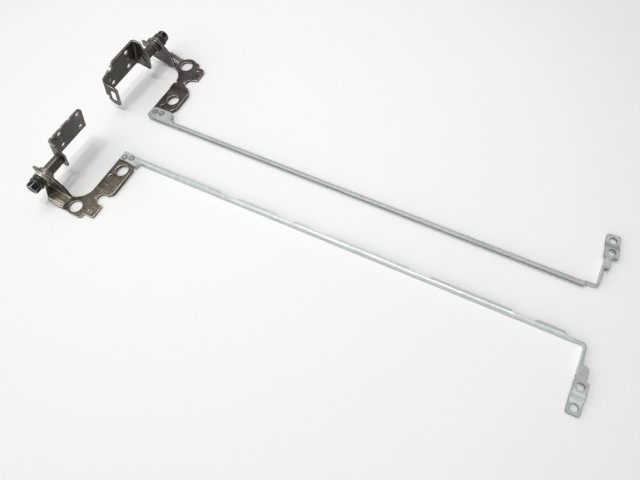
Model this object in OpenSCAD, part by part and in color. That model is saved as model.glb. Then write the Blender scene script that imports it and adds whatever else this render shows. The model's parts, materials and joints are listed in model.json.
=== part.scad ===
// A pair of laptop lid hinges, right and left. Each one has a dark plated screen
// bracket that lies flat, a long galvanised rail riveted to it, a friction stack on
// a shaft, and a base bracket that turns with the shaft. X runs along the rails,
// Y across the pair, Z up from the surface that the brackets lie on.

/* [Pair] */
// Distance across the pair between the inner faces of the two shaft lugs
pair_gap = 67; // [62:0.5:90]
// How far the left hinge lies behind the right one, along the rails
left_setback = 3.2; // [0:0.1:8]
// Opening angle that the right hinge stands at
right_angle = 69; // [40:1:100]
// Opening angle that the left hinge stands at
left_angle = 74; // [40:1:100]

/* [Screen bracket] */
// Thickness of the screen bracket's steel
plate_t = 1.0; // [0.8:0.1:1.3]
// Height of the shaft's axis above the surface
axis_h = 12.6; // [11.6:0.1:14.5]
// Inner edge of the right arm, from the shaft's axis
right_arm_in = 16; // [15.6:0.1:16.6]
// Inner edge of the left arm, from the shaft's axis
left_arm_in = 15.1; // [14.8:0.1:15.6]
// Outer edge of the right arm, from the shaft's axis
right_arm_out = 25.9; // [25.7:0.1:27]
// Outer edge of the left arm, from the shaft's axis
left_arm_out = 26.3; // [26:0.1:27.4]
// Outer edge of the low part of the plate
foot_out = 24.7; // [24.4:0.1:25.6]
// Height that the arm's end is stepped up by
step_h = 1; // [0.8:0.1:1.3]
// Length of the slope that lifts the arm
step_run = 2.2; // [1.8:0.1:2.6]
// Height of the raised rim round the notch
rim_h = 0.35; // [0.2:0.05:0.5]
// Diameter of the two large holes
big_hole_d = 6; // [5:0.1:6.6]
// Large hole by the shaft, distance from the axis
hole_a_x = 13.5; // [13.3:0.1:14.2]
// Large hole by the shaft, distance outward from the base bracket's lug
hole_a_y = 13.4; // [13.1:0.1:13.6]
// Large hole in the arm, distance from the axis
hole_b_x = 21.4; // [20.8:0.1:21.6]
// Large hole in the right arm, distance inward from the base bracket's lug
right_hole_b_y = 11.2; // [10.6:0.1:11.4]
// Large hole in the left arm, distance inward from the base bracket's lug
left_hole_b_y = 9.9; // [9.4:0.1:10.6]
// Diameter of the small locating holes
pilot_d = 1.6; // [1.2:0.1:2]
// Angle at which the lug's foot rises from the plate
foot_rise = 19; // [15:1:22]

/* [Rail] */
// Thickness of the rail's sheet
rail_t = 0.6; // [0.5:0.05:0.8]
// Width of the right rail's top flange
right_flange_w = 2.1; // [1.8:0.1:2.6]
// Width of the left rail's top flange
left_flange_w = 2.4; // [2:0.1:2.8]
// Width of the flange where it is cut back
flange_cut_w = 1.2; // [1:0.1:1.5]
// Rail's web on the right hinge, distance inward from the lug
right_web_y = 17.8; // [17.6:0.1:18.4]
// Rail's web on the left hinge, distance inward from the lug
left_web_y = 21.8; // [21.4:0.1:22.4]
// Angle by which the right rail stands off square to the shaft
rail_skew = 0.65; // [0.4:0.05:0.8]
// End of the right rail's flange, from the shaft's axis
right_flange_end = 221.5; // [215:0.5:223]
// End of the left rail's flange, from the shaft's axis
left_flange_end = 226; // [220:0.5:228]
// Far face of the right rail's cross strip, from the shaft's axis
right_rail_end = 228.8; // [226:0.2:234]
// Far face of the left rail's cross strip, from the shaft's axis
left_rail_end = 230.2; // [227.2:0.2:235]
// Diameter of the two screw holes in the end tab
tab_hole_d = 3; // [2.2:0.1:3.4]
// Distance between the end tab's two holes on the right hinge
right_tab_pitch = 7.6; // [7:0.1:8]
// Distance between the end tab's two holes on the left hinge
left_tab_pitch = 6; // [5.8:0.1:6.4]
// Width of the right end tab
right_tab_w = 5; // [4.6:0.1:5.4]
// Width of the left end tab
left_tab_w = 5.4; // [5:0.1:5.8]
// Depth of the step across the end tab
tab_step = 0.9; // [0.6:0.1:1.1]
// Diameter of the rivets that hold the rail to the bracket
rivet_d = 1.8; // [1.5:0.1:2]
// Diameter of the rivets' flattened heads
rivet_head_d = 3; // [2.6:0.1:3.3]

/* [Shaft and stack] */
// Diameter of the shaft's thick collar
collar_d = 5; // [4.6:0.1:5.6]
// Length of the collar, from the base bracket's lug to the first washer
collar_l = 7.9; // [7:0.1:8.4]
// Diameter of the shaft inside the washers
journal_d = 4; // [3.8:0.1:4.2]
// Distance across the shaft's two flats
flats_w = 3.1; // [2.9:0.1:3.3]
// Diameter of the threaded end
thread_d = 2.5; // [2:0.1:3]
// Clearance between the shaft and the holes on it, on the radius
fit_gap = 0.05; // [0.03:0.01:0.08]
// Clearance between faces that rub on each other
face_gap = 0.04; // [0.02:0.01:0.06]
// Diameter of the friction and stop washers
washer_d = 7.1; // [6.8:0.1:8]
// Diameter of the thin spacer washer next to the collar
spacer_d = 6.2; // [5.8:0.1:6.6]
// Thickness of the spacer washer
spacer_t = 0.6; // [0.4:0.1:0.8]
// Thickness of the stop washer with the tongue
stop_t = 1.2; // [1:0.1:1.4]
// Reach of the stop washer's tongue from the axis
tongue_r = 6.5; // [5.8:0.1:7.4]
// Width of the stop washer's tongue
tongue_w = 3.2; // [2.4:0.1:3.6]
// Tilt of the stop washer's tongue above the level, in the standing position
tongue_tilt = 3; // [0:1:10]
// Thickness of the friction washer
friction_t = 0.6; // [0.4:0.1:0.8]
// Thickness of the bright pressure washer
pressure_t = 0.8; // [0.6:0.1:1]
// Diameter of the disc springs
spring_d = 6.6; // [6.2:0.1:7.4]
// Sheet thickness of a disc spring
spring_t = 0.6; // [0.5:0.05:0.7]
// Height of one dished disc spring
spring_h = 0.9; // [0.85:0.05:1]
// Width of the lock nut across its flats
nut_af = 5; // [4.6:0.1:5.5]
// Length of the lock nut
nut_l = 2.9; // [2.4:0.1:3.2]

/* [Base bracket] */
// Thickness of the base bracket's steel
base_t = 0.9; // [0.8:0.1:1.2]
// Distance from the axis's level down to the base plate's lower edge
base_low = 4.5; // [4.3:0.1:5.4]
// Width of the right base plate across the shaft
right_base_w = 15.4; // [15:0.1:17]
// Width of the left base plate across the shaft
left_base_w = 16; // [15.4:0.1:17.5]
// Distance from the shaft's axis to the base plate's near face
base_off = 3.2; // [3.1:0.1:3.6]
// Reach of the right lug below the axis, away from the base plate
right_lug_reach = 3.7; // [3.4:0.1:5]
// Reach of the left lug below the axis, away from the base plate
left_lug_reach = 4.8; // [3.4:0.1:5]
// Length of the right base plate along the shaft
right_base_l = 22; // [21.4:0.1:24]
// Length of the left base plate along the shaft
left_base_l = 25; // [24.4:0.1:27]
// Diameter of the base plate's screw holes
screw_d = 2.6; // [2:0.1:2.8]
// Distance between the rows of screw holes, along the shaft
screw_x = 12.2; // [12:0.1:12.6]
// Distance between the screw holes of a row, across the shaft
screw_y = 9.6; // [8.6:0.1:10]
// Distance from the lug's outer face to the first row of screw holes
screw_in = 6.9; // [6:0.1:7.4]
// Distance from the axis's level up to the middle between the screw holes
screw_mid = 3.6; // [3.4:0.1:3.9]

/* [Hidden] */
$fn = 64;
over = 1;
right = "right";
left = "left";

// Stack along the shaft, measured outward from the base bracket's lug
spacer_y = collar_l;
stop_y = spacer_y + spacer_t;
lug_y = stop_y + stop_t + face_gap;
friction_y = lug_y + plate_t;
pressure_y = friction_y + friction_t + face_gap;
spring_y = pressure_y + pressure_t;
spring_count = 4;
nut_y = spring_y + spring_count * spring_h;
shaft_end_y = nut_y + nut_l + 0.3;

// Levels above the surface that the hinges lie on
rail_h = step_h + plate_t + rail_t;
arm_z = step_h;

// How far each end tab reaches back past its cross strip
right_tab_back = 0.9;
left_tab_back = 2.1;

// Corner of the pair's box, which the origin is the middle of
box_x_min = -left_setback - tongue_r * cos(tongue_tilt) - tongue_w / 2 * sin(tongue_tilt);
box_x_max = max(right_rail_end + right_tab_w - right_tab_back,
    left_rail_end - left_setback + left_tab_w - left_tab_back);
mid_x = (box_x_min + box_x_max) / 2;

function side_angle(side) = side == left ? left_angle : right_angle;
function web_y(side) = side == left ? left_web_y : right_web_y;
function arm_in(side) = side == left ? left_arm_in : right_arm_in;
function arm_out(side) = side == left ? left_arm_out : right_arm_out;
function hole_b_y(side) = side == left ? left_hole_b_y : right_hole_b_y;
function flange_w(side) = side == left ? left_flange_w : right_flange_w;
function skew(side) = side == left ? 0 : rail_skew;
function rail_end(side) = side == left ? left_rail_end : right_rail_end;
function flange_end(side) = side == left ? left_flange_end : right_flange_end;
function tab_back(side) = side == left ? left_tab_back : right_tab_back;
function tab_w(side) = side == left ? left_tab_w : right_tab_w;

// Puts one hinge in its place in the pair
module lay(side) {
    if (side == left)
        translate([-left_setback - mid_x, 0, 0]) mirror([0, 1, 0])
            translate([0, -pair_gap / 2, 0]) children();
    else
        translate([-mid_x, -pair_gap / 2, 0]) children();
}

// Turns what the shaft carries from the closed position to its standing angle
module swing(side) {
    translate([0, 0, axis_h]) rotate([0, -side_angle(side), 0]) children();
}

// A cylinder along the shaft's axis, from y0 outward over length l
module disc(d, y0, l) {
    translate([0, -y0, 0]) rotate([90, 0, 0]) cylinder(d = d, h = l);
}

// The same with two flats, as the shaft and the keyed holes have
module keyed_disc(d, flats, y0, l) {
    intersection() {
        disc(d, y0, l);
        translate([-d, -y0 - l - over, -flats / 2]) cube([2 * d, l + 2 * over, flats]);
    }
}

module plan_square(x0, y0, x1, y1) {
    translate([x0, y0]) square([x1 - x0, y1 - y0]);
}

// A rectangle in plan with rounded corners of radius r
module plan_round(x0, y0, x1, y1, r) {
    plan_square(x0 + r, y0, x1 - r, y1);
    plan_square(x0, y0 + r, x1, y1 - r);
    for (x = [x0 + r, x1 - r], y = [y0 + r, y1 - r]) translate([x, y]) circle(r = r);
}

// An L section folded from sheet: a wall of height h and a top flange of width w
module folded_section(w, h, t, r) {
    difference() {
        union() {
            translate([r, 0]) square([w - r, h]);
            square([r, h - r]);
            translate([r, h - r]) circle(r = r);
        }
        translate([t, -over]) square([r - t, h - r + over]);
        translate([r, -over]) square([w, h - t + over]);
        translate([r, h - r]) circle(r = r - t);
    }
}

// Screen bracket, in plan
foot_in_x = -4.2;
foot_out_y = 17.1;
bend_x = 8.6;
plate_span = 22;
inner_r = 7.8;
low_out = 25.2;
notch_r = 2.55;
lobe_r = 4.1;
pilot_x = 18.6;
// The left plate keeps a shoulder where its inner curve meets the arm
function inner_x(side) = side == left ? 14.2 : 15.1;
function low_in(side) = side == left ? 13.9 : 15.1;
function notch_y(side) = side == left ? -3.3 : -5.35;
function step_y(side) = side == left ? 1.8 : -2.8;
function arm_end_y(side) = web_y(side) + 1.2;

// The straight arm that the rail is riveted to
module arm_plan(side) {
    low = notch_y(side) + notch_r - 0.2;
    top = arm_end_y(side);
    difference() {
        polygon([[low_in(side), low], [low_in(side), step_y(side)],
            [arm_in(side), step_y(side) + step_run], [arm_in(side), top], [arm_out(side), top],
            [arm_out(side), step_y(side) + step_run], [low_out, step_y(side)], [low_out, low]]);
        translate([arm_out(side), side == left ? web_y(side) - 8 : web_y(side) - 4.4])
            rotate(side == left ? 33 : 39) square([8, 14]);
        translate([low_out, side == left ? low + 0.6 : low])
            rotate(45) square(side == left ? 3 : 2, center = true);
    }
}

// The low plate round the large hole by the shaft
module plate_plan(side) {
    out_y = -hole_a_y - lobe_r;
    top = min(0, step_y(side));
    difference() {
        union() {
            plan_square(bend_x - over, -foot_out_y, hole_a_x, top);
            plan_square(hole_a_x, out_y, hole_a_x + 6, top);
            translate([hole_a_x, -hole_a_y]) circle(r = side == left ? lobe_r + 1.2 : lobe_r);
            plan_round(hole_a_x, out_y + 2.5, foot_out, step_y(side), side == left ? 2.8 : 1);
        }
        translate([inner_x(side) - inner_r, inner_r - lug_y]) {
            circle(r = inner_r);
            plan_square(-inner_r, 0, inner_r, plate_span);
        }
        translate([hole_a_x + 6, out_y]) rotate(45) square(1.4, center = true);
    }
}

// The foot of the lug, with its slanting free end
module foot_plan() {
    polygon([[foot_in_x, -lug_y], [foot_in_x, -lug_y - 1.8], [0.2, -foot_out_y + 1.7],
        [2.2, -foot_out_y], [bend_x + over, -foot_out_y], [bend_x + over, -lug_y]]);
}

// Notch in the outer edge, flared a little toward its mouth
notch_x = 22.4;
module notch_outline(side) {
    circle(r = notch_r);
    far = side == left ? 0.4 : 0.14;
    near = side == left ? 0.55 : 0;
    polygon([[0, -notch_r], [6, -notch_r - 6 * far], [6, notch_r + 6 * near], [0, notch_r]]);
}

module bracket_plan(side) {
    difference() {
        union() {
            arm_plan(side);
            plate_plan(side);
            foot_plan();
        }
        translate([hole_a_x, -hole_a_y]) circle(d = big_hole_d);
        translate([hole_b_x, hole_b_y(side)]) circle(d = big_hole_d);
        translate([notch_x, notch_y(side)]) notch_outline(side);
        translate([foot_out - 3.2, side == left ? -12 : 0.5 - hole_a_y])
            circle(d = side == left ? pilot_d - 0.4 : pilot_d);
        translate([pilot_x, hole_b_y(side) + (side == left ? 5.3 : -4.8)])
            circle(d = pilot_d);
        if (side == left)
            polygon([[low_in(side) - over, -2.9], [inner_x(side), -2.9],
                [inner_x(side) + 1.1, -1.6], [low_in(side) - over, -0.8]]);
    }
}

// Side profile of the low plate and of the foot that rises to the lug
module foot_profile() {
    run = bend_x - foot_in_x + over;
    slope = tan(foot_rise);
    reach = left_arm_out + 4;
    polygon([[reach, 0], [bend_x, 0], [bend_x - run, run * slope],
        [bend_x - run, run * slope + plate_t / cos(foot_rise)],
        [bend_x - plate_t * tan(foot_rise / 2), plate_t], [reach, plate_t]]);
}

// End profile of the step that lifts the arm, drawn along the arm
module step_profile(side) {
    y0 = step_y(side);
    top = arm_end_y(side) + over;
    set_back = plate_t * tan(atan(step_h / step_run) / 2);
    polygon([[y0 - 1.5, 0], [y0, 0], [y0 + step_run, step_h], [top, step_h],
        [top, step_h + plate_t], [y0 + step_run - set_back, step_h + plate_t],
        [y0 - set_back, plate_t], [y0 - 1.5, plate_t]]);
}

// Upright lug that the shaft turns in, drawn across the shaft
module lug_outline() {
    eye_r = 4.2;
    translate([0, axis_h]) circle(r = eye_r);
    polygon([[foot_in_x, (bend_x - foot_in_x) * tan(foot_rise) + 0.2],
        [-eye_r * 0.98, axis_h - 0.9], [0, axis_h], [2.6, axis_h + 3.8], [6.2, axis_h + 1.4],
        [7.4, axis_h - 0.2], [8.9, axis_h - 4.2], [bend_x, 0.3], [bend_x - 1, 0.7]]);
}

module screen_bracket(side) {
    color("#474240") lay(side) difference() {
        union() {
            intersection() {
                linear_extrude(axis_h) bracket_plan(side);
                union() {
                    translate([0, step_y(side) - 1, 0]) rotate([90, 0, 0])
                        linear_extrude(plate_span) foot_profile();
                    translate([inner_x(side) - 2, 0, 0]) rotate([90, 0, 90])
                        linear_extrude(plate_span) step_profile(side);
                }
            }
            translate([0, -lug_y, 0]) rotate([90, 0, 0]) linear_extrude(plate_t) lug_outline();
            foot_bead();
            notch_rim(side);
        }
        translate([0, 0, axis_h]) disc(journal_d + 2 * fit_gap, lug_y - over, plate_t + 2 * over);
        for (p = rivet_places(side))
            translate([p[0], p[1], arm_z - over]) cylinder(d = rivet_d, h = plate_t + 2 * over);
    }
}

// Rim coined round one side of the notch
rim_r = 4.1;
module notch_rim(side) {
    difference() {
        translate([notch_x, notch_y(side), 0]) intersection() {
            translate([0, side == left ? -0.2 : 0.7, 0])
                cylinder(r1 = rim_r + 0.9, r2 = rim_r - 0.6, h = plate_t + rim_h);
            translate([-rim_r - over, side == left ? 0.6 - rim_r : -0.8, 0.1])
                cube([rim_r + over + 1.4, rim_r, 3 * plate_t]);
        }
        translate([notch_x, notch_y(side), -over]) linear_extrude(4 * plate_t)
            notch_outline(side);
    }
}

// Stiffening bead pressed along the foot
module foot_bead() {
    bead_h = 0.5;
    translate([bend_x, 0, 0]) rotate([0, foot_rise, 0]) translate([-8.2, -foot_out_y + 0.7, 0])
        rotate([90, 0, 90]) linear_extrude(7.6)
            polygon([[0, plate_t - 0.2], [0.5, plate_t + bead_h], [2.6, plate_t + bead_h],
                [3.1, plate_t - 0.2]]);
}

function rivet_places(side) = side == left ?
    [[18.4, web_y(side) - 1.5], [21.9, web_y(side) - 1.9]] :
    [[18.4, web_y(side) - 0.2], [21.9, web_y(side) + 0.7]];

// Rail: an L section with cut-outs, an end plate, and a cross strip with a tab
bend_r = 1.1;
inner_bend_r = 2.2;
function rail_start(side) = arm_out(side) + inner_bend_r + (side == left ? 1.1 : 0.1);
cut_starts = [70.4, 98.7, 113.8, 159.5, 200.6];
cut_l = 9.8;
function far_web_y(side) = web_y(side) + (rail_end(side) - rail_start(side)) * tan(skew(side));

// Distances along the rail and across it, from the web's near end
module along_rail(side) {
    translate([rail_start(side), web_y(side), 0]) rotate(skew(side)) children();
}

module flange_cuts(side) {
    depth = flange_w(side) - flange_cut_w;
    if (side == right)
        for (x = cut_starts)
            along_rail(side)
                translate([x - rail_start(side), flange_w(side), rail_h - rail_t - over])
                    linear_extrude(rail_t + 2 * over)
                        polygon([[-over, over], [0, 0], [depth, -depth],
                            [cut_l - depth, -depth], [cut_l, 0], [cut_l + over, over]]);
}

// End plate that lies on the arm, in plan
module end_plate_plan(side) {
    far = web_y(side) + flange_w(side);
    x0 = arm_in(side) + 0.5;
    x1 = rail_start(side);
    y1 = web_y(side) - inner_bend_r;
    difference() {
        union() {
            if (side == left) {
                plan_round(x0, web_y(side) - 4.4, x1 - inner_bend_r, far, 2);
                plan_square(x0 + 4, y1, x1 - inner_bend_r, far);
            } else {
                polygon([[x0, y1 + 0.2], [x0, far + 1], [x0 + 7.5, far], [x1, far], [x1, y1],
                    [x1 - inner_bend_r, y1 - 0.4], [x0 + 5, y1 + 0.3]]);
            }
            plan_square(x0 + 8, y1, x1 + over, far);
        }
        translate([x1, y1]) circle(r = inner_bend_r);
        plan_square(x1, y1 - over, x1 + 2 * over, y1 + inner_bend_r);
    }
}

// Start of the web, which turns up along the end plate's edge
module web_start_plan(side) {
    y1 = web_y(side) - inner_bend_r;
    outer_r = inner_bend_r + rail_t;
    translate([rail_start(side), y1]) intersection() {
        difference() {
            circle(r = outer_r);
            circle(r = inner_bend_r);
        }
        translate([-outer_r, 0]) square(outer_r);
    }
    translate([rail_start(side) - outer_r, y1 - (side == left ? 1 : 0.4)])
        square([rail_t, side == left ? 1.2 : 0.6]);
}

// End tab in plan: a neck at the cross strip, then the wide part with its two holes
module tab_outline(side) {
    low = side == left ? -2.8 : -2.5;
    shoulder = tab_pitch(side) + 2.7;
    neck = side == left ? 1.9 : 2.8;
    neck_y = tab_hole_y(side) + shoulder;
    difference() {
        union() {
            on_tab(side)
                plan_round(-tab_w(side) / 2, low, tab_w(side) / 2, shoulder, 0.9);
            plan_round(rail_end(side) - rail_t, neck_y - 2, rail_end(side) + neck,
                neck_y + 5.2, side == left ? 0.7 : 1.3);
        }
        translate([rail_end(side) + neck + 0.9, neck_y + 0.8]) circle(r = 1.3);
        on_tab(side) {
            circle(d = tab_hole_d);
            translate([0, tab_pitch(side)]) circle(d = tab_hole_d);
        }
    }
}

// Distances across the tab and along it, from its outer hole
module on_tab(side) {
    translate([rail_end(side) - tab_back(side) + tab_w(side) / 2, tab_hole_y(side)])
        rotate(-tab_skew(side)) children();
}

function tab_skew(side) = side == left ? 5 : 0;
function tab_pitch(side) = side == left ? left_tab_pitch : right_tab_pitch;
function tab_hole_y(side) = side == left ? -0.3 : -3.1;

// Side profile of the tab, stepped down between its two holes
module tab_profile(side) {
    mid = tab_hole_y(side) + tab_pitch(side) / 2;
    y0 = mid - tab_step / 2;
    z1 = rail_h - rail_t;
    set_back = rail_t * tan(22.5);
    low = z1 - tab_step;
    polygon([[y0 - 9, low], [y0 + set_back, low], [y0 + tab_step + set_back, z1],
        [web_y(side), z1], [web_y(side), rail_h], [y0 + tab_step, rail_h],
        [y0, low + rail_t], [y0 - 9, low + rail_t]]);
}

// Cross strip standing on edge, with its rounded corner to the web
module cross_strip_plan(side) {
    y1 = far_web_y(side);
    x1 = rail_end(side);
    r = 1.6;
    polygon([[flange_end(side) - 1, y1 - (x1 - flange_end(side) + 1) * tan(skew(side))], [x1 - r, y1],
        [x1 - r, y1 + rail_t],
        [flange_end(side) - 1, y1 + rail_t - (x1 - flange_end(side) + 1) * tan(skew(side))]]);
    plan_square(x1 - rail_t, side == left ? 9.2 : 8.4, x1, y1 + rail_t - r);
    translate([x1 - r, y1 + rail_t - r]) intersection() {
        difference() {
            circle(r = r);
            circle(r = r - rail_t);
        }
        square(r);
    }
}

module display_rail(side) {
    color("#aeb3b1") lay(side) difference() {
        union() {
            linear_extrude(rail_h) web_start_plan(side);
            along_rail(side) rotate([90, 0, 90]) linear_extrude(flange_end(side) - rail_start(side))
                folded_section(flange_w(side), rail_h, rail_t, bend_r);
            translate([0, 0, rail_h - rail_t]) linear_extrude(rail_t) end_plate_plan(side);
            linear_extrude(rail_h) cross_strip_plan(side);
            intersection() {
                linear_extrude(rail_h) tab_outline(side);
                translate([rail_end(side) - 4, 0, 0]) rotate([90, 0, 90])
                    linear_extrude(tab_w(side) + 4) tab_profile(side);
            }
        }
        flange_cuts(side);
        for (p = rivet_places(side))
            translate([p[0], p[1], rail_h - rail_t - over])
                cylinder(d = rivet_d, h = rail_t + 2 * over);
        along_rail(side) translate([flange_end(side) - rail_start(side), flange_w(side), rail_h])
            rotate([0, 0, 45]) cube([1.6, 1.6, 4 * rail_t], center = true);
    }
}

// Two rivets, flattened over the end plate and under the arm
module rail_rivets(side) {
    head_h = 0.3;
    color("#9ba09e") lay(side) for (p = rivet_places(side)) translate([p[0], p[1], 0]) {
        translate([0, 0, arm_z - head_h])
            cylinder(d1 = rivet_head_d - 0.4, d2 = rivet_head_d, h = head_h);
        translate([0, 0, arm_z]) cylinder(d = rivet_d, h = plate_t + rail_t);
        translate([0, 0, rail_h]) difference() {
            cylinder(d1 = rivet_head_d, d2 = rivet_head_d - 0.4, h = head_h);
            translate([0, 0, head_h - 0.15]) cylinder(d = rivet_head_d - 1.2, h = over);
        }
    }
}

// Shaft: staked end, thick collar, flatted journal and threaded end
module shaft(side) {
    stake_h = 0.5;
    color("#3d3a38") lay(side) swing(side) {
        disc(collar_d - 0.5, -base_t - stake_h, stake_h);
        keyed_disc(journal_d, flats_w, -base_t, base_t);
        disc(collar_d, 0, collar_l);
        keyed_disc(journal_d, flats_w, collar_l, nut_y - collar_l);
        disc(thread_d, nut_y, shaft_end_y - nut_y);
    }
}

module keyed_hole(y0, l) {
    keyed_disc(journal_d + 2 * fit_gap, flats_w + 2 * fit_gap, y0 - over, l + 2 * over);
}

module spacer_washer(side) {
    color("#b9b4ad") lay(side) swing(side) difference() {
        disc(spacer_d, spacer_y, spacer_t);
        keyed_hole(spacer_y, spacer_t);
    }
}

// Stop washer, whose tongue stands out away from the rail
module stop_washer(side) {
    color("#6d6a66") lay(side) swing(side) difference() {
        union() {
            disc(washer_d, stop_y, stop_t);
            rotate([0, side_angle(side) + tongue_tilt, 0])
                translate([-tongue_r, -stop_y - stop_t, -tongue_w / 2])
                    cube([tongue_r - journal_d / 2 - 1, stop_t, tongue_w]);
        }
        keyed_hole(stop_y, stop_t);
    }
}

// Friction washer, held against the bracket's lug
module friction_washer(side) {
    color("#8a7d72") lay(side) translate([0, 0, axis_h]) difference() {
        disc(washer_d, friction_y, friction_t);
        disc(journal_d + 2 * fit_gap, friction_y - over, friction_t + 2 * over);
    }
}

module pressure_washer(side) {
    color("#c2bdb4") lay(side) swing(side) difference() {
        disc(washer_d - 0.2, pressure_y, pressure_t);
        keyed_hole(pressure_y, pressure_t);
    }
}

// One dished disc spring; every other one is turned round
module disc_spring(side, number) {
    y0 = spring_y + (number - 1) * spring_h;
    r0 = journal_d / 2 + fit_gap;
    r1 = spring_d / 2;
    dish = spring_h - spring_t;
    turned = number % 2 == 1;
    color("#2b2a29") lay(side) swing(side)
        translate([0, turned ? -y0 - spring_h : -y0, 0]) rotate([turned ? -90 : 90, 0, 0])
            rotate_extrude()
                polygon([[r0, dish], [r1, 0], [r1, spring_t], [r0, spring_h]]);
}

// Six-sided lock nut with bevelled corners
module lock_nut(side) {
    across = nut_af / cos(30);
    color("#302f2e") lay(side) swing(side) difference() {
        translate([0, -nut_y, 0]) rotate([90, 0, 0]) intersection() {
            cylinder(d = across, h = nut_l, $fn = 6);
            union() {
                cylinder(d = across, h = nut_l - 0.6);
                translate([0, 0, nut_l - 0.6]) cylinder(d1 = across, d2 = across - 1, h = 0.6);
            }
        }
        disc(thread_d, nut_y - over, nut_l + 2 * over);
    }
}

// Base bracket, drawn in the closed position: the plate lies above the axis
base_top = base_off + base_t;
base_x0 = -base_low;
base_bend_r = 2;
function base_w(side) = side == left ? left_base_w : right_base_w;
function base_x1(side) = base_x0 + base_w(side);
function base_l(side) = side == left ? left_base_l : right_base_l;
function lug_reach(side) = side == left ? left_lug_reach : right_lug_reach;

// Lug that the shaft is staked into, with a hollow corner and a rounded one
module lug_cut_outline(side) {
    difference() {
        translate([base_x0, -lug_reach(side)])
            square([base_w(side), lug_reach(side) + base_top]);
        translate([base_x1(side) + 0.4, -1.2 - lug_reach(side)]) circle(r = 5.2);
        translate([base_x0, -lug_reach(side)]) difference() {
            square(3, center = true);
            translate([1.5, 1.5]) circle(r = 1.5);
        }
    }
}

// Base plate in plan, with the holes for its screws
module base_plate_plan(side) {
    l = base_l(side);
    x1 = base_x1(side);
    corner = side == left ? 1 : 3;
    difference() {
        union() {
            plan_square(base_x0, 0, x1, l - corner);
            plan_square(base_x0, 0, x1 - corner, l);
            translate([x1 - corner, l - corner]) circle(r = corner);
        }
        if (side == left) {
            translate([x1 - 0.5, l - 8.2]) rotate(28) {
                square([6, 14]);
                for (k = [1 : 4]) translate([0, 1.6 * k]) square([0.7, 0.7], center = true);
            }
            translate([screw_mid - 0.8, l - 3.4]) circle(d = pilot_d - 0.2);
        } else {
            for (k = [0 : 2]) translate([x1, 3 + 5.5 * k]) square([0.6, 0.7], center = true);
        }
        for (x = [-1, 1], k = [0, 1])
            translate([screw_mid + x * screw_y / 2, screw_in + k * screw_x])
                circle(d = screw_d);
        translate([screw_mid, screw_in]) circle(d = pilot_d - 0.2);
    }
}

// Flange with a square window at the far end of the left base plate
loop_x0 = -9;
loop_x1 = 4.2;
loop_reach = 3.3;
module loop_outline() {
    corner = 1.8;
    difference() {
        union() {
            plan_round(loop_x0, -loop_reach, loop_x1, base_off - 0.6, corner);
            plan_square(base_x0, 0, loop_x1, base_top);
            plan_square(loop_x0 + corner, -loop_reach + corner, loop_x0 + corner + over, base_off);
        }
        plan_square(loop_x0 + 1.9, -loop_reach + 1.5, loop_x0 + 9.9, -loop_reach + 4.9);
    }
}

module base_bracket(side) {
    color("#4b4744") lay(side) swing(side) difference() {
        union() {
            intersection() {
                translate([base_x0, 0, -lug_reach(side)]) rotate([90, 0, 90])
                    linear_extrude(base_w(side))
                        folded_section(base_l(side), base_top + lug_reach(side), base_t,
                            base_bend_r);
                union() {
                    translate([0, 0, base_off]) linear_extrude(base_t) base_plate_plan(side);
                    translate([0, base_bend_r, 0]) rotate([90, 0, 0])
                        linear_extrude(base_bend_r) lug_cut_outline(side);
                }
            }
            if (side == left)
                translate([0, base_l(side), 0]) rotate([90, 0, 0]) linear_extrude(base_t)
                    loop_outline();
        }
        keyed_disc(journal_d, flats_w, -base_t - over, base_t + 2 * over);
    }
}

screen_bracket(right);  // right_screen_bracket
display_rail(right);  // right_display_rail
rail_rivets(right);  // right_rail_rivets
shaft(right);  // right_shaft
spacer_washer(right);  // right_spacer_washer
stop_washer(right);  // right_stop_washer
friction_washer(right);  // right_friction_washer
pressure_washer(right);  // right_pressure_washer
disc_spring(right, 1);  // right_disc_spring_1
disc_spring(right, 2);  // right_disc_spring_2
disc_spring(right, 3);  // right_disc_spring_3
disc_spring(right, 4);  // right_disc_spring_4
lock_nut(right);  // right_lock_nut
base_bracket(right);  // right_base_bracket
screen_bracket(left);  // left_screen_bracket
display_rail(left);  // left_display_rail
rail_rivets(left);  // left_rail_rivets
shaft(left);  // left_shaft
spacer_washer(left);  // left_spacer_washer
stop_washer(left);  // left_stop_washer
friction_washer(left);  // left_friction_washer
pressure_washer(left);  // left_pressure_washer
disc_spring(left, 1);  // left_disc_spring_1
disc_spring(left, 2);  // left_disc_spring_2
disc_spring(left, 3);  // left_disc_spring_3
disc_spring(left, 4);  // left_disc_spring_4
lock_nut(left);  // left_lock_nut
base_bracket(left);  // left_base_bracket
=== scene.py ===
# The looks of a pair of laptop lid hinges: dark plated brackets, galvanised rails and
# the friction stacks on their shafts. The pieces' sizes are in millimetres, turned to
# metres by MM, and the lamps' places and sizes are in metres.
import math

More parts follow.
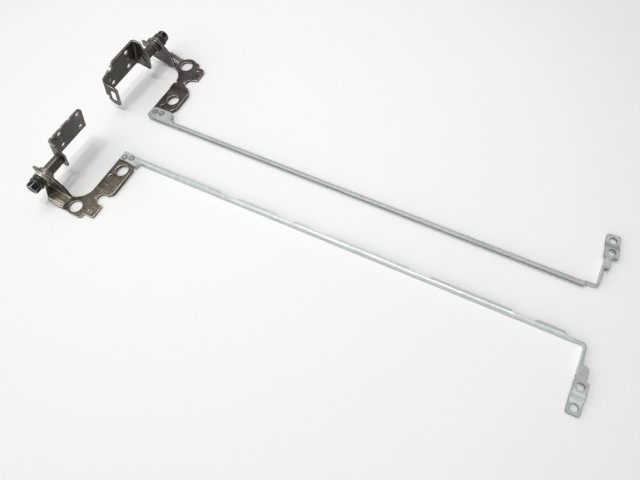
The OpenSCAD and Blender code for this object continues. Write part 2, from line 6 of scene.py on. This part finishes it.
import bmesh
import bpy
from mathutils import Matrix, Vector
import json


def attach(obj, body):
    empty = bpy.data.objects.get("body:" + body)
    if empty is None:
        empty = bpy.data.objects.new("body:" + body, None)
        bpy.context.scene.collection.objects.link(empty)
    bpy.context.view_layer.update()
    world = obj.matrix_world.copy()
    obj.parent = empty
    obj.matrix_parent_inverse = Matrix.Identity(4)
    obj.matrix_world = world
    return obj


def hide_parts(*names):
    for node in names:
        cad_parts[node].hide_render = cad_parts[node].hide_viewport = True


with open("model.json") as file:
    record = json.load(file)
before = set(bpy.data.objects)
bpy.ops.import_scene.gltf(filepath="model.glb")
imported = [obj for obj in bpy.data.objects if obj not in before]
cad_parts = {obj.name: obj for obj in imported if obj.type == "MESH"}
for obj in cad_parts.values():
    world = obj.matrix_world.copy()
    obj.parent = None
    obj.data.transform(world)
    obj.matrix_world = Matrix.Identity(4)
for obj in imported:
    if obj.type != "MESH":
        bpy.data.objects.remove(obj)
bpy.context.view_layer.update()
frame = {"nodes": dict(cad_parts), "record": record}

# Screen brackets: cold rolled steel, 1 mm thick, blanked and folded in one press tool and
# then plated in dark nickel. The plating is brownish grey with a soft sheen and faint pits.
# Its rounded edges are bright in patches, partly wear and partly a painted highlight, and the
# sheared faces are darker.
MM = 0.001
SIDES = ("right", "left")
BRACKET_STEEL = 1.0
BRACKET_ROUNDING = 0.15
CLOUD_SIZE = 6.0
# Real pits are far finer, and are drawn this coarse so that they show
PIT_SIZE = 0.8
# The scratches run this long, and are drawn wider than real ones by the stretch across
SCRATCH_LENGTH = 8.0
SCRATCH_STRETCH = (1, 12, 6)
PIT_DEPTH = 0.02
body_of = {node: body for body, nodes in frame["record"]["behaviour"]["bodies"].items()
           for node in nodes}


def linear(colour):
    """An sRGB hex value, such as "46413E", as a linear colour."""
    parts = [int(colour[i:i + 2], 16) / 255 for i in (0, 2, 4)]
    return [c / 12.92 if c <= 0.04045 else ((c + 0.055) / 1.055) ** 2.4 for c in parts] + [1.0]


def add_node(tree, kind, settings=None, links=None, stops=(), **values):
    """One shader node: its settings, the values and links of its inputs, a ramp's colours."""
    node = tree.nodes.new(kind)
    for name, value in (settings or {}).items():
        setattr(node, name, value)
    for name, value in values.items():
        node.inputs[name.replace("_", " ")].default_value = value
    for name, source in (links or {}).items():
        tree.links.new(source, node.inputs[name])
    for position, colour in stops[1:-1]:
        node.color_ramp.elements.new(position).color = linear(colour)
    if stops:
        for end in (0, -1):
            node.color_ramp.elements[end].position = stops[end][0]
            node.color_ramp.elements[end].color = linear(stops[end][1])
    return node


def new_material(name, metallic, roughness):
    """A material with its shader, and the Object coordinates that its patterns are read at."""
    material = bpy.data.materials.new(name)
    material.use_nodes = True
    tree = material.node_tree
    shader = tree.nodes["Principled BSDF"]
    shader.inputs["Metallic"].default_value = metallic
    shader.inputs["Roughness"].default_value = roughness
    place = add_node(tree, "ShaderNodeTexCoord").outputs["Object"]
    return material, tree, shader, place


MIX = {"data_type": "RGBA"}
MULTIPLY = {"data_type": "RGBA", "blend_type": "MULTIPLY"}


def plated_steel(name, dark, light, wear_and_highlight_colour, sheared_colour):
    """Dark nickel on pressed steel: cloudy, finely pitted, scratched, worn edges with painted
    highlight.
    """
    material, tree, shader, place = new_material(name, 0.82, 0.4)
    cloud = add_node(tree, "ShaderNodeTexNoise", links={"Vector": place},
                     Scale=1 / (CLOUD_SIZE * MM), Detail=3.0, Roughness=0.6).outputs["Fac"]
    pits = add_node(tree, "ShaderNodeTexNoise", links={"Vector": place},
                    Scale=1 / (PIT_SIZE * MM), Detail=2.0, Roughness=0.6).outputs["Fac"]
    tone = add_node(tree, "ShaderNodeValToRGB", links={"Fac": cloud},
                    stops=[(0.3, dark), (0.7, light)]).outputs["Color"]
    speckle = add_node(tree, "ShaderNodeValToRGB", links={"Fac": pits},
                       stops=[(0.34, "A4A09C"), (0.5, "E4E2E0"), (0.66, "FFFFFF")])
    pitted = add_node(tree, "ShaderNodeMix", MULTIPLY, Factor=0.75,
                      links={"A": tone, "B": speckle.outputs["Color"]}).outputs["Result"]
    stretch = add_node(tree, "ShaderNodeMapping", links={"Vector": place},
                       Scale=SCRATCH_STRETCH, Rotation=(0.3, 0.2, 0.9)).outputs["Vector"]
    scratch = add_node(tree, "ShaderNodeTexNoise", links={"Vector": stretch},
                       Scale=1 / (SCRATCH_LENGTH * MM), Detail=4.0,
                       Roughness=0.75).outputs["Fac"]
    scratched = add_node(tree, "ShaderNodeValToRGB", links={"Fac": scratch},
                         stops=[(0.64, "000000"), (0.72, "E0E0E0")]).outputs["Color"]
    worn = add_node(tree, "ShaderNodeMix", MIX, links={"Factor": scratched, "A": pitted},
                    B=linear(wear_and_highlight_colour)).outputs["Result"]
    sheared = add_node(tree, "ShaderNodeAttribute", {"attribute_name": "sheared"})
    edged = add_node(tree, "ShaderNodeMix", MIX, B=linear(sheared_colour),
                     links={"Factor": sheared.outputs["Fac"], "A": worn}).outputs["Result"]
    # The rounded edges take the bright colour in patches: partly wear, partly a painted
    # highlight.
    rounding_faces = add_node(tree, "ShaderNodeAttribute", {"attribute_name": "rounding_faces"})
    patches = add_node(tree, "ShaderNodeMapRange", links={"Value": cloud}, From_Min=0.35,
                       From_Max=0.6, To_Min=0.35, To_Max=1.0).outputs["Result"]
    edge_wear_and_highlight = add_node(tree, "ShaderNodeMath", {"operation": "MULTIPLY"})
    tree.links.new(rounding_faces.outputs["Fac"], edge_wear_and_highlight.inputs[0])
    tree.links.new(patches, edge_wear_and_highlight.inputs[1])
    finish = add_node(tree, "ShaderNodeMix", MIX, B=linear(wear_and_highlight_colour),
                      links={"Factor": edge_wear_and_highlight.outputs["Value"], "A": edged}).outputs["Result"]
    tree.links.new(finish, shader.inputs["Base Color"])
    gloss = add_node(tree, "ShaderNodeMapRange", links={"Value": cloud},
                     To_Min=0.22, To_Max=0.44)
    tree.links.new(gloss.outputs["Result"], shader.inputs["Roughness"])
    bump = add_node(tree, "ShaderNodeBump", links={"Height": pits},
                    Strength=0.12, Distance=PIT_DEPTH * MM)
    tree.links.new(bump.outputs["Normal"], shader.inputs["Normal"])
    return material


def rectangle_width(face):
    """The shorter side of a face, were it a rectangle of the same area and outline."""
    half = face.calc_perimeter() / 2
    return (half - math.sqrt(max(half * half - 4 * face.calc_area(), 0))) / 2


# Corners this close are one, and faces this flat to each other become one
WELD_GAP = 0.002
FLAT_ANGLE = math.radians(1)
# Edges that bend more than this are rounded, in this many steps
BEND_ANGLE = math.radians(32)
ROUNDING_STEPS = 2
FOLD_STEPS = 5
# Edges that bend more than this stay crisp in the shading
CRISP_ANGLE = math.radians(28)
# A face may differ from the sheet's thickness by this share and still be a sheared one
SHEARED_SLACK = 0.12
# How far a fold's corners may lie from its height and from its radius
FOLD_HEIGHT_SLACK = 0.02
FOLD_REACH_SLACK = 0.05
MOST_CORNERS = 8


def softened(node, radius, material, sheet=0.0, fold=None):
    """A copy of a CAD node with its edges rounded, which stands in for the node.

    Faces as wide as the sheet is thick are marked as sheared, roundings for an edge colour.
    A fold names a curved top edge to round first: its centre, radius, height and rounding.
    With a radius of 0 no other edge is rounded.
    """
    mesh = bmesh.new()
    mesh.from_mesh(frame["nodes"][node].data)
    bmesh.ops.remove_doubles(mesh, verts=mesh.verts, dist=WELD_GAP * MM)
    bmesh.ops.dissolve_limit(mesh, angle_limit=FLAT_ANGLE, verts=mesh.verts,
                             edges=mesh.edges)
    if fold:
        centre, reach, height, rounding = fold
        arc = [e for e in mesh.edges if all(
            abs(v.co.z - height * MM) < FOLD_HEIGHT_SLACK * MM
            and abs((v.co.xy - centre * MM).length - reach * MM) < FOLD_REACH_SLACK * MM
            for v in e.verts)]
        bmesh.ops.bevel(mesh, geom=arc, offset=rounding * MM, segments=FOLD_STEPS,
                        profile=0.5, affect="EDGES", material=-1, clamp_overlap=True)
    for name in ("sheared", "rounding_faces"):
        mesh.faces.layers.float.new(name)
    sheared = mesh.faces.layers.float["sheared"]
    rounding_faces = mesh.faces.layers.float["rounding_faces"]
    for face in mesh.faces:
        smooth = [e.calc_length() for e in face.edges if e.calc_face_angle(0) < BEND_ANGLE]
        width = max(smooth) if smooth else rectangle_width(face)
        face[sheared] = float(abs(width - sheet * MM) < SHEARED_SLACK * sheet * MM)
    # Large flat faces are split, as their outlines tear when their edges are rounded whole
    bmesh.ops.triangulate(mesh, faces=[f for f in mesh.faces if len(f.verts) > MOST_CORNERS])
    edges = [e for e in mesh.edges if e.is_manifold and e.calc_face_angle(0) > BEND_ANGLE]
    rounded = bmesh.ops.bevel(mesh, geom=edges if radius else [], offset=radius * MM,
                              segments=ROUNDING_STEPS, profile=0.5, affect="EDGES", material=-1,
                              miter_outer="ARC", clamp_overlap=False)
    # Roundings are marked for an edge colour, which on some materials is a painted highlight.
    for face in rounded["faces"]:
        face[sheared] = 0.0
        face[rounding_faces] = 1.0
    for face in mesh.faces:
        face.smooth = True
    data = bpy.data.meshes.new(node + "_finished")
    mesh.to_mesh(data)
    mesh.free()
    data.materials.append(material)
    piece = bpy.data.objects.new(node + "_finished", data)
    bpy.context.scene.collection.objects.link(piece)
    data.set_sharp_from_angle(angle=CRISP_ANGLE)
    weighted = piece.modifiers.new("even_flats", "WEIGHTED_NORMAL")
    weighted.keep_sharp = True
    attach(piece, body_of[node])
    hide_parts(node)


# One plating in two copies, lighter on the right and darker on the left: the difference is
# painted light and shade.
plating_painted_light_and_shade = {
    "right": plated_steel("brown_nickel_plate", "5E584F", "82796C", "E2DBCD", "3A3631"),
    "left": plated_steel("dark_nickel_plate", "4E4846", "706865", "DAD4CE", "2E2A28")}
for side in SIDES:
    softened(side + "_screen_bracket", BRACKET_ROUNDING, plating_painted_light_and_shade[side],
             BRACKET_STEEL)

# Display rails: thin galvanised sheet, folded to an L and cropped at the flange. The zinc is
# pale grey-green with fine rolling streaks and a faint spangle, and grey where it was cut.
# Their edges are rounded in the material alone and darkened there as painted shade, and
# the fold of their curved starts in shape.
RAIL_SHEET = 0.6
RAIL_HEIGHT = 2.6
RAIL_EDGE = 0.2
SPANGLE_SIZE = 1.2
STREAK_WIDTH = 0.9
STREAK_DEPTH = 0.02
# The curve by which each rail starts, seen from above, and the rounding of its fold
CORNER_RADIUS = 2.2
CORNER_CENTRE = {"right": Vector((-83.36, -17.9)), "left": Vector((-85.16, 13.9))}
FOLD_ROUNDING = 1.0


def rounded_edge_mask(tree, radius):
    """How far a point lies in the rounding of an edge, and the rounding's own normal."""
    rounded = add_node(tree, "ShaderNodeBevel", {"samples": 6}, Radius=radius * MM)
    surface = add_node(tree, "ShaderNodeNewGeometry").outputs["Normal"]
    turned = add_node(tree, "ShaderNodeVectorMath", {"operation": "DOT_PRODUCT"})
    tree.links.new(rounded.outputs["Normal"], turned.inputs[0])
    tree.links.new(surface, turned.inputs[1])
    worn = add_node(tree, "ShaderNodeMapRange", links={"Value": turned.outputs["Value"]},
                    From_Min=0.985, From_Max=0.88).outputs["Result"]
    return worn, rounded.outputs["Normal"]


def galvanised(name):
    """Zinc over rolled sheet: a faint spangle under streaks, with painted shade along its
    edges.
    """
    material, tree, shader, place = new_material(name, 0.6, 0.34)
    cells = add_node(tree, "ShaderNodeTexVoronoi", links={"Vector": place},
                     Scale=1 / (SPANGLE_SIZE * MM)).outputs["Color"]
    spangle = add_node(tree, "ShaderNodeValToRGB", links={"Fac": cells},
                       stops=[(0.1, "BDC1BE"), (0.9, "CCD0CD")]).outputs["Color"]
    rolling = add_node(tree, "ShaderNodeMapping", links={"Vector": place},
                       Scale=(0.06, 1, 1)).outputs["Vector"]
    streaks = add_node(tree, "ShaderNodeTexNoise", links={"Vector": rolling},
                       Scale=1 / (STREAK_WIDTH * MM), Detail=3.0,
                       Roughness=0.6).outputs["Fac"]
    dull = add_node(tree, "ShaderNodeValToRGB", links={"Fac": streaks},
                    stops=[(0.35, "FFFFFF"), (0.7, "DADEDB")]).outputs["Color"]
    zinc = add_node(tree, "ShaderNodeMix", MULTIPLY, Factor=0.8,
                    links={"A": spangle, "B": dull}).outputs["Result"]
    sheared = add_node(tree, "ShaderNodeAttribute", {"attribute_name": "sheared"})
    cut = add_node(tree, "ShaderNodeMix", MIX, B=linear("4E5250"),
                   links={"Factor": sheared.outputs["Fac"], "A": zinc}).outputs["Result"]
    # The rounded edges are darkened as painted shade, a dark outline along them.
    painted_edge_shade, rounded = rounded_edge_mask(tree, RAIL_EDGE)
    edged = add_node(tree, "ShaderNodeMix", MIX, B=linear("6E7370"),
                     links={"Factor": painted_edge_shade, "A": cut}).outputs["Result"]
    tree.links.new(edged, shader.inputs["Base Color"])
    gloss = add_node(tree, "ShaderNodeMapRange", links={"Value": streaks},
                     To_Min=0.26, To_Max=0.44)
    tree.links.new(gloss.outputs["Result"], shader.inputs["Roughness"])
    bump = add_node(tree, "ShaderNodeBump", links={"Height": streaks, "Normal": rounded},
                    Strength=0.05, Distance=STREAK_DEPTH * MM)
    tree.links.new(bump.outputs["Normal"], shader.inputs["Normal"])
    return material


zinc_sheet = galvanised("galvanised_sheet")
for side in SIDES:
    softened(side + "_display_rail", 0.0, zinc_sheet, RAIL_SHEET,
             fold=(CORNER_CENTRE[side], CORNER_RADIUS, RAIL_HEIGHT, FOLD_ROUNDING))

# Rail rivets: soft steel rivets, zinc plated, flattened over the end plate by a ring punch.
# Their rounded rims are coloured dark, which draws a dark ring round each.
RIVET_ROUNDING = 0.12
GRAIN_DEPTH = 0.02


def turned_steel(name, dark, light, metallic, roughness, line_size, edge):
    """Turned, punched or ground steel: a tone that varies in fine lines, and its edges."""
    material, tree, shader, place = new_material(name, metallic, roughness)
    grain = add_node(tree, "ShaderNodeTexNoise", links={"Vector": place},
                     Scale=1 / (line_size * MM), Detail=3.0, Roughness=0.7).outputs["Fac"]
    tone = add_node(tree, "ShaderNodeValToRGB", links={"Fac": grain},
                    stops=[(0.3, dark), (0.7, light)]).outputs["Color"]
    # Roundings take the edge colour; where it is light, it is partly wear and partly a painted
    # highlight.
    rounding_faces = add_node(tree, "ShaderNodeAttribute", {"attribute_name": "rounding_faces"})
    finish = add_node(tree, "ShaderNodeMix", MIX, B=linear(edge),
                      links={"Factor": rounding_faces.outputs["Fac"], "A": tone}).outputs["Result"]
    tree.links.new(finish, shader.inputs["Base Color"])
    gloss = add_node(tree, "ShaderNodeMapRange", links={"Value": grain},
                     To_Min=roughness - 0.08, To_Max=roughness + 0.12)
    tree.links.new(gloss.outputs["Result"], shader.inputs["Roughness"])
    bump = add_node(tree, "ShaderNodeBump", links={"Height": grain},
                    Strength=0.15, Distance=GRAIN_DEPTH * MM)
    tree.links.new(bump.outputs["Normal"], shader.inputs["Normal"])
    return material


rivet_steel = turned_steel("zinc_plated_rivet", "8E9390", "BCC0BD", metallic=0.7,
                           roughness=0.36, line_size=0.5, edge="626664")
for side in SIDES:
    softened(side + "_rail_rivets", RIVET_ROUNDING, rivet_steel)

# Shafts: turned steel, dark oxidised and oiled, with a thick collar between the brackets.
# Each is staked into the base bracket at one end and carries the nut at the other.
SHAFT_ROUNDING = 0.12
# Its rounded edges are lighter, partly as wear and partly as a painted highlight.
shaft_steel = turned_steel("oiled_dark_steel", "413D38", "6A635B", metallic=0.85,
                           roughness=0.28, line_size=0.6, edge="98918A")
for side in SIDES:
    softened(side + "_shaft", SHAFT_ROUNDING, shaft_steel)

# Washers: a thin bright spacer by the collar and a grey stop washer with its tongue, then a
# friction washer and a ground pressure washer under the springs, cream on the right hinge
# and pinkish grey with old grease on the left one.
WASHER_ROUNDING = 0.1
STOP_ROUNDING = 0.12
bright_steel = turned_steel("ground_steel", "7A766E", "ACA79D", metallic=0.8,
                            roughness=0.28, line_size=0.6, edge="4A4742")
stop_steel = turned_steel("grey_pressed_steel", "625F59", "8C8880", metallic=0.8,
                          roughness=0.34, line_size=0.8, edge="34322E")
friction_face = {
    "right": turned_steel("cream_friction_steel", "B9B09B", "E2DBC8", metallic=0.4,
                          roughness=0.34, line_size=0.6, edge="6A6455"),
    "left": turned_steel("greased_friction_steel", "857B79", "A79C99", metallic=0.5,
                         roughness=0.34, line_size=0.6, edge="3C3634")}
for side in SIDES:
    softened(side + "_spacer_washer", WASHER_ROUNDING, bright_steel)
    softened(side + "_stop_washer", STOP_ROUNDING, stop_steel)
    softened(side + "_friction_washer", WASHER_ROUNDING, friction_face[side])
    softened(side + "_pressure_washer", WASHER_ROUNDING, friction_face[side])

# Disc springs and lock nuts: hardened steel with a black oxide finish and a film of oil,
# lighter along the springs' rims and round the nut's edges, partly worn and partly a painted
# highlight.
SPRING_COUNT = 4
SPRING_ROUNDING = 0.08
NUT_ROUNDING = 0.12
black_oxide = turned_steel("oiled_black_oxide", "121110", "242321", metallic=0.75,
                           roughness=0.3, line_size=0.5, edge="96948E")
worn_oxide = turned_steel("worn_black_oxide", "141312", "3C3B38", metallic=0.75,
                          roughness=0.3, line_size=0.9, edge="B0AEAA")
for side in SIDES:
    for number in range(1, SPRING_COUNT + 1):
        softened(f"{side}_disc_spring_{number}", SPRING_ROUNDING, black_oxide)
    softened(side + "_lock_nut", NUT_ROUNDING, worn_oxide)

# Base brackets: the same plated steel as the screen brackets, 0.9 mm thick, folded to a
# plate and a lug, which the end of the shaft is staked into.
BASE_STEEL = 0.9
base_nickel = plated_steel("dark_nickel_plate_base", "3C3835", "57524C", "BEB8B0", "4A4642")
for side in SIDES:
    softened(side + "_base_bracket", BRACKET_ROUNDING, base_nickel, BASE_STEEL)

# The table: a plain white sheet, much larger than the pair, that keeps its soft shadows.
# Its white turns a little greyer outwards as painted shade, where the light falls off, and its
# ramp's stops are distances in metres.
TABLE_SIZE = 3.0
TABLE_SHIFT = (0.06, 0.0, 0)
sheet = bmesh.new()
bmesh.ops.create_grid(sheet, x_segments=1, y_segments=1, size=TABLE_SIZE / 2)
table_data = bpy.data.meshes.new("table")
sheet.to_mesh(table_data)
sheet.free()
table = bpy.data.objects.new("table", table_data)
bpy.context.scene.collection.objects.link(table)
table_paint, table_tree, table_shader, table_place = new_material("white_table", 0.0, 0.7)
centred = add_node(table_tree, "ShaderNodeMapping", links={"Vector": table_place},
                   Location=TABLE_SHIFT).outputs["Vector"]
spread = add_node(table_tree, "ShaderNodeVectorMath", {"operation": "LENGTH"})
table_tree.links.new(centred, spread.inputs[0])
shade = add_node(table_tree, "ShaderNodeValToRGB", links={"Fac": spread.outputs["Value"]},
                 stops=[(0.06, "F2F2F0"), (0.16, "ECECEA"), (0.23, "E2E2E0")])
table_tree.links.new(shade.outputs["Color"], table_shader.inputs["Base Color"])
table_shader.inputs["Specular IOR Level"].default_value = 0.1
table_data.materials.append(table_paint)

# The camera stands where the photograph's did: to the right of the shafts and above the
# lower hinge, looking down to the left.
CAMERA_PLACE = (68.6, -100.8, 189.6)
CAMERA_TILT = 28.57
CAMERA_ROLL = 3.95
CAMERA_HEADING = 27.34
SENSOR_WIDTH = 36
FOCAL_LENGTH = 29.02
NEAREST_SEEN = 0.01
camera_data = bpy.data.cameras.new("camera")
camera = bpy.data.objects.new("camera", camera_data)
bpy.context.scene.collection.objects.link(camera)
camera.location = [v * MM for v in CAMERA_PLACE]
camera.rotation_euler = [math.radians(a) for a in (CAMERA_TILT, CAMERA_ROLL, CAMERA_HEADING)]
camera_data.sensor_width = SENSOR_WIDTH
camera_data.lens = FOCAL_LENGTH
camera_data.clip_start = NEAREST_SEEN
bpy.context.scene.camera = camera

# The light: two ceiling lamps, whose shadows fall side by side, three softer panels, and a
# room with a broad white window at the front left, which the bends of the rails show.
WINDOW_DIRECTION = (-0.5, -0.75, 0.4)
# The window fades in between these two shares of facing it
WINDOW_RIM = 0.5
WINDOW_MIDDLE = 0.8
WINDOW_STRENGTH = 1.5
# The walls light the pair with the first, and its metal shows the second
WALL_LIGHT = 0.12
WALL_SHOWN = 0.36
BACKGROUND_STRENGTH = 0.92


def panel(name, place, target, size, watts):
    """A square or oblong lamp that faces its target."""
    data = bpy.data.lights.new(name, "AREA")
    data.shape = "RECTANGLE"
    data.size, data.size_y = size
    data.energy = watts
    lamp = bpy.data.objects.new(name, data)
    lamp.location = place
    lamp.rotation_euler = (Vector(target) - Vector(place)).to_track_quat("-Z", "Y").to_euler()
    bpy.context.scene.collection.objects.link(lamp)


panel("right_ceiling_lamp", (0.1, -0.09, 1.0), (0, 0, 0), (0.13, 0.13), 2.0)
panel("left_ceiling_lamp", (-0.22, -0.09, 1.0), (-0.05, 0, 0), (0.16, 0.16), 1.9)
panel("back_ceiling_panel", (-0.22, 0.2, 1.0), (-0.1, -0.05, 0), (0.2, 0.2), 1.2)
panel("left_panel", (-0.85, 0.08, 0.75), (-0.05, 0, 0), (0.5, 0.5), 1.0)
panel("back_window", (-0.2, 0.62, 0.85), (0, 0, 0), (1.3, 0.6), 1.3)
world = bpy.data.worlds.new("room")
world.use_nodes = True
bpy.context.scene.world = world
world_tree = world.node_tree
background = world_tree.nodes["Background"]
sky = add_node(world_tree, "ShaderNodeTexCoord").outputs["Generated"]
facing = add_node(world_tree, "ShaderNodeVectorMath", {"operation": "DOT_PRODUCT"})
world_tree.links.new(sky, facing.inputs[0])
facing.inputs[1].default_value = WINDOW_DIRECTION
walls = add_node(world_tree, "ShaderNodeMapRange", links={"Value": facing.outputs["Value"]},
                 From_Min=WINDOW_RIM, From_Max=WINDOW_MIDDLE, To_Min=WALL_LIGHT,
                 To_Max=WINDOW_STRENGTH).outputs["Result"]
shown = add_node(world_tree, "ShaderNodeMapRange", links={"Value": facing.outputs["Value"]},
                 From_Min=WINDOW_RIM, From_Max=WINDOW_MIDDLE, To_Min=WALL_SHOWN,
                 To_Max=WINDOW_STRENGTH).outputs["Result"]
rays = add_node(world_tree, "ShaderNodeLightPath").outputs
glossy = add_node(world_tree, "ShaderNodeMix", {"data_type": "FLOAT"},
                  links={"Factor": rays["Is Glossy Ray"], "A": walls, "B": shown})
strength = add_node(world_tree, "ShaderNodeMix", {"data_type": "FLOAT"}, B=BACKGROUND_STRENGTH,
                    links={"Factor": rays["Is Camera Ray"], "A": glossy.outputs["Result"]})
world_tree.links.new(strength.outputs["Result"], background.inputs["Strength"])
background.inputs["Color"].default_value = linear("FFFFFF")

bpy.context.scene.view_settings.view_transform = "Standard"
